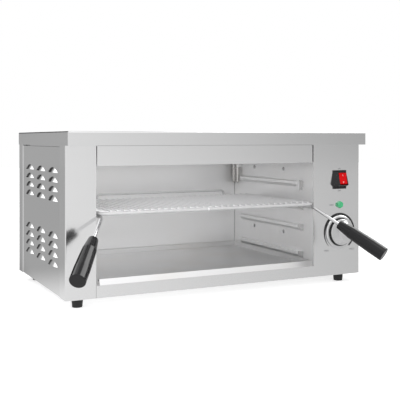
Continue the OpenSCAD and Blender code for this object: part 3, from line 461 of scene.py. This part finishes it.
def butt_weld(shape):
    """Collar of weld where the ends of the frame's rod meet, near the middle of its front."""
    rows = []
    for x, grow in BUTT_PROFILE:
        radius = rod_r + grow * MM
        row = []
        for k in range(BUTT_SIDES):
            a = math.tau * k / BUTT_SIDES
            row.append(shape.verts.new((BUTT_X + x * MM, rack_low.y + rod_r + radius * math.cos(a),
                                        rack_low.z + rod_r + radius * math.sin(a))))
        rows.append(row)
    for r0, r1 in zip(rows, rows[1:]):
        for k in range(BUTT_SIDES):
            j = (k + 1) % BUTT_SIDES
            shape.faces.new((r0[k], r0[j], r1[j], r1[k]))
    shape.faces.new(rows[0])
    shape.faces.new(rows[-1][::-1])


piece("rack_butt_weld", butt_weld, wire, "rack")

rocker = nodes["switch_rocker"]
rocker_tree = BVHTree.FromPolygons([rocker.matrix_world @ v.co for v in rocker.data.vertices],
                                   [tuple(f.vertices) for f in rocker.data.polygons])
rocker_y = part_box("switch_rocker")[0].y
rock_x, rock_z = centre("switch_rocker")


def on_rocker(x, z, lift):
    """Point on the rocker's front face, lifted off it by the given depth."""
    from_front = Vector((x, rocker_y - 0.05, z))
    hit, normal, _, _ = rocker_tree.ray_cast(from_front, Vector((0, 1, 0)))
    return hit + normal * lift if hit else Vector((x, rocker_y, z))


def mark_pair(shape, x, z):
    """Front and back corner of a mark at one place on the rocker."""
    return tuple(shape.verts.new(on_rocker(x, z, lift)) for lift in (0.08 * MM, -0.04 * MM))


RING_RADII = (0.5 * MM, 1.1 * MM)
RING_Z = rock_z - 6.5 * MM
RING_SIDES = 24
BAR_X, BAR_Z = 0.35, 1.2
BAR_MIDDLE = rock_z + 7.0 * MM


def rocker_mark_off(shape):
    """Ring mark on the lower half of the rocker."""
    rows = []
    for radius in RING_RADII:
        row = []
        for k in range(RING_SIDES):
            a = math.tau * k / RING_SIDES
            x, z = rock_x + radius * math.cos(a), RING_Z + radius * math.sin(a)
            row.append(mark_pair(shape, x, z))
        rows.append(row)
    inner, outer = rows
    for k in range(RING_SIDES):
        j = (k + 1) % RING_SIDES
        shape.faces.new((inner[k][0], outer[k][0], outer[j][0], inner[j][0]))
        shape.faces.new((inner[k][1], inner[j][1], outer[j][1], outer[k][1]))
        shape.faces.new((outer[k][0], outer[k][1], outer[j][1], outer[j][0]))
        shape.faces.new((inner[k][0], inner[j][0], inner[j][1], inner[k][1]))


def rocker_mark_on(shape):
    """Bar mark on the upper half of the rocker."""
    corners = [mark_pair(shape, rock_x + dx * MM, BAR_MIDDLE + dz * MM)
               for dx, dz in ((-BAR_X, -BAR_Z), (BAR_X, -BAR_Z), (BAR_X, BAR_Z), (-BAR_X, BAR_Z))]
    shape.faces.new([pair[0] for pair in corners])
    shape.faces.new([pair[1] for pair in corners][::-1])
    for (a0, a1), (b0, b1) in zip(corners, corners[1:] + corners[:1]):
        shape.faces.new((a0, a1, b1, b0))


piece("rocker_mark_off", rocker_mark_off, mark_white, "rocker")
piece("rocker_mark_on", rocker_mark_on, mark_white, "rocker")

# Three upright bars beside the lamp
HEAT_BAR_FROM, HEAT_BAR_PITCH = 15.5 * MM, 3.4 * MM
HEAT_BAR_X, HEAT_BAR_Z = 0.8 * MM, 1.5 * MM
for k in range(3):
    x = knob_x - HEAT_BAR_FROM - k * HEAT_BAR_PITCH
    strip(f"heat_bar_{k}", (x - HEAT_BAR_X, panel_y - 0.05 * MM, lamp_z - HEAT_BAR_Z),
          (x + HEAT_BAR_X, panel_y + 0.05 * MM, lamp_z + HEAT_BAR_Z), print_grey)

words("label_on", "ON", knob_x, switch_z + 21.5 * MM, 4.0 * MM, print_grey)
words("label_off", "OFF", knob_x, switch_z - 22.5 * MM, 4.6 * MM, print_grey)
words("label_min", "MIN", knob_x - 31 * MM, knob_z - 36 * MM, 5.6 * MM, print_grey)
words("label_max", "MAX", knob_x + 31 * MM, knob_z - 36 * MM, 5.6 * MM, print_grey)


# ---------------------------------------------------------------- stage

# Light along the horizon: its direction, the cosines between which it rises, and its two levels
FRONT = (-0.423, -0.906, 0.0)
FRONT_FROM, FRONT_TO = 0.38, 0.82
FRONT_LOW, FRONT_HIGH = 0.43, 0.84
# Dark gap in the studio behind the object, which the louvres mirror: its direction and cosines,
# and the share of the low level that it takes away
REAR_DARK = (0.04, 0.96, 0.25)
DARK_FROM, DARK_TO = 0.935, 0.965
DARK_SHARE = 0.9
# Levels of the floor in reflections: what it adds to the low front level, and behind the object
FLOOR_EXTRA = 0.12
REAR_FLOOR, REAR_FLOOR_DARK = 0.41, 0.25
# The camera's place mirrored in the front sheets, from where the floor in front is seen in them
MIRRORED_CAMERA = (-0.65, 1.04, 0.0)
# Foot of the left side, from where the floor behind is seen in the louvres
LEFT_SIDE = (-0.3, 0.0, 0.0)
# Over this stretch of Y the floor turns from the part behind to the part in front
REAR_END, FRONT_START = 0.3, -0.1
FLOOR_HALF = 6.0
# The floor's own greys, and the glow that makes it pale for the camera
PAPER_DARK, PAPER_LIGHT = 0.84, 0.88
PAPER_GLOW = 0.55

floor_mesh = bpy.data.meshes.new("floor")
grid = bmesh.new()
bmesh.ops.create_grid(grid, x_segments=8, y_segments=8, size=FLOOR_HALF)
grid.to_mesh(floor_mesh)
grid.free()
floor = bpy.data.objects.new("floor", floor_mesh)
bpy.context.scene.collection.objects.link(floor)
floor_material = bpy.data.materials.new("floor_white")
t = Tree(floor_material)
path = t.node("ShaderNodeLightPath")
speckle = t.noise(t.coords((3, 3, 3)))
paper = t.node("ShaderNodeBsdfDiffuse")
t.feed(paper.inputs["Color"], t.mix(speckle, grey(PAPER_DARK), grey(PAPER_LIGHT)))
glow = t.node("ShaderNodeEmission")
t.feed(glow.inputs["Color"], grey(1.0))
t.feed(glow.inputs["Strength"], t.math("MULTIPLY", path.outputs["Is Camera Ray"], PAPER_GLOW))
both = t.node("ShaderNodeAddShader")
t.link(paper.outputs[0], both.inputs[0])
t.link(glow.outputs[0], both.inputs[1])
# In reflections the floor carries on the studio's light: bright in front, falling off to the right
place = t.node("ShaderNodeTexCoord").outputs["Object"]
ahead = t.vector("NORMALIZE", t.vector("SUBTRACT", place, MIRRORED_CAMERA))
sweep = t.smooth(t.vector("DOT_PRODUCT", ahead, FRONT), FRONT_FROM, FRONT_TO,
                 FRONT_LOW + FLOOR_EXTRA, FRONT_HIGH)
split = t.node("ShaderNodeSeparateXYZ")
t.link(place, split.inputs[0])
fore = t.smooth(split.outputs["Y"], REAR_END, FRONT_START)
mirror_glow = t.node("ShaderNodeEmission")
t.feed(mirror_glow.inputs["Color"], grey(1.0))
behind = t.vector("NORMALIZE", t.vector("SUBTRACT", place, LEFT_SIDE))
shade = t.smooth(t.vector("DOT_PRODUCT", behind, REAR_DARK), DARK_FROM, DARK_TO,
                 REAR_FLOOR, REAR_FLOOR_DARK)
t.feed(mirror_glow.inputs["Strength"], t.mix_value(fore, shade, sweep))
seen = t.node("ShaderNodeMixShader")
t.feed(seen.inputs[0], path.outputs["Is Glossy Ray"])
t.link(both.outputs[0], seen.inputs[1])
t.link(mirror_glow.outputs[0], seen.inputs[2])
t.link(seen.outputs[0], t.node("ShaderNodeOutputMaterial").inputs[0])
floor_mesh.materials.append(floor_material)

world = bpy.data.worlds.new("world")
bpy.context.scene.world = world
t = Tree(world)
direction = t.node("ShaderNodeTexCoord").outputs["Generated"]


def soft_box(level, toward, low, high, strength):
    """Adds a soft box to the studio: its brightness rises between two cosines about a direction."""
    length = math.sqrt(sum(part * part for part in toward))
    facing = t.vector("DOT_PRODUCT", direction, tuple(part / length for part in toward))
    return t.math("ADD", t.smooth(facing, low, high, 0.0, strength), level)


# Direction, the two cosines and the strength of each soft box
SOFT_BOXES = [
    (FRONT, FRONT_FROM, FRONT_TO, FRONT_HIGH - FRONT_LOW),
    ((0.13, -0.75, 0.64), 0.80, 0.97, 0.60),
    ((0.0, 0.0, 1.0), 0.3, 0.95, 0.20),
    ((-0.08, 0.65, 0.75), 0.90, 0.97, 0.60),
    ((-0.80, 0.31, 0.51), 0.75, 0.95, 0.65),
    ((-0.50, 0.68, 0.53), 0.935, 0.965, 1.10),
    (REAR_DARK, DARK_FROM, DARK_TO, -FRONT_LOW * DARK_SHARE),
]
# Strips for the bands of light on the grips, seen by glossy rays only
STRIPS = [
    ((0.72, 0.20, 0.66), 0.90, 0.95, 3.5),
    ((0.05, -0.32, 0.94), 0.92, 0.96, 0.5),
]
level = FRONT_LOW
for box in SOFT_BOXES:
    level = soft_box(level, *box)
path = t.node("ShaderNodeLightPath")
strip_light = 0.0
for box in STRIPS:
    strip_light = soft_box(strip_light, *box)
level = t.math("ADD", level, t.math("MULTIPLY", strip_light, path.outputs["Is Glossy Ray"]))
level = t.mix_value(path.outputs["Is Camera Ray"], level, 1.0)
sky = t.node("ShaderNodeBackground")
t.feed(sky.inputs["Color"], grey(1.0))
t.feed(sky.inputs["Strength"], level)
t.link(sky.outputs[0], t.node("ShaderNodeOutputWorld").inputs[0])


def lamp(name, place, target, size, power):
    """Area lamp that lights the matt surfaces and isn't mirrored by the steel."""
    data = bpy.data.lights.new(name, "AREA")
    data.shape = "RECTANGLE"
    data.size, data.size_y = size
    data.energy = power
    made = bpy.data.objects.new(name, data)
    made.location = place
    aim = Vector(target) - Vector(place)
    made.rotation_euler = aim.to_track_quat("-Z", "Y").to_euler()
    made.visible_glossy = False
    made.visible_camera = False
    bpy.context.scene.collection.objects.link(made)


lamp("overhead", (-0.2, -0.5, 1.9), (0, 0, 0.1), (1.8, 1.4), 7)
lamp("front_fill", (-0.3, -2.2, 0.7), (0, 0, 0.15), (1.4, 1.0), 12)
lamp("cavity_fill", (-0.04, -0.02, 0.243), (-0.04, -0.02, 0.0), (0.36, 0.28), 0.26)
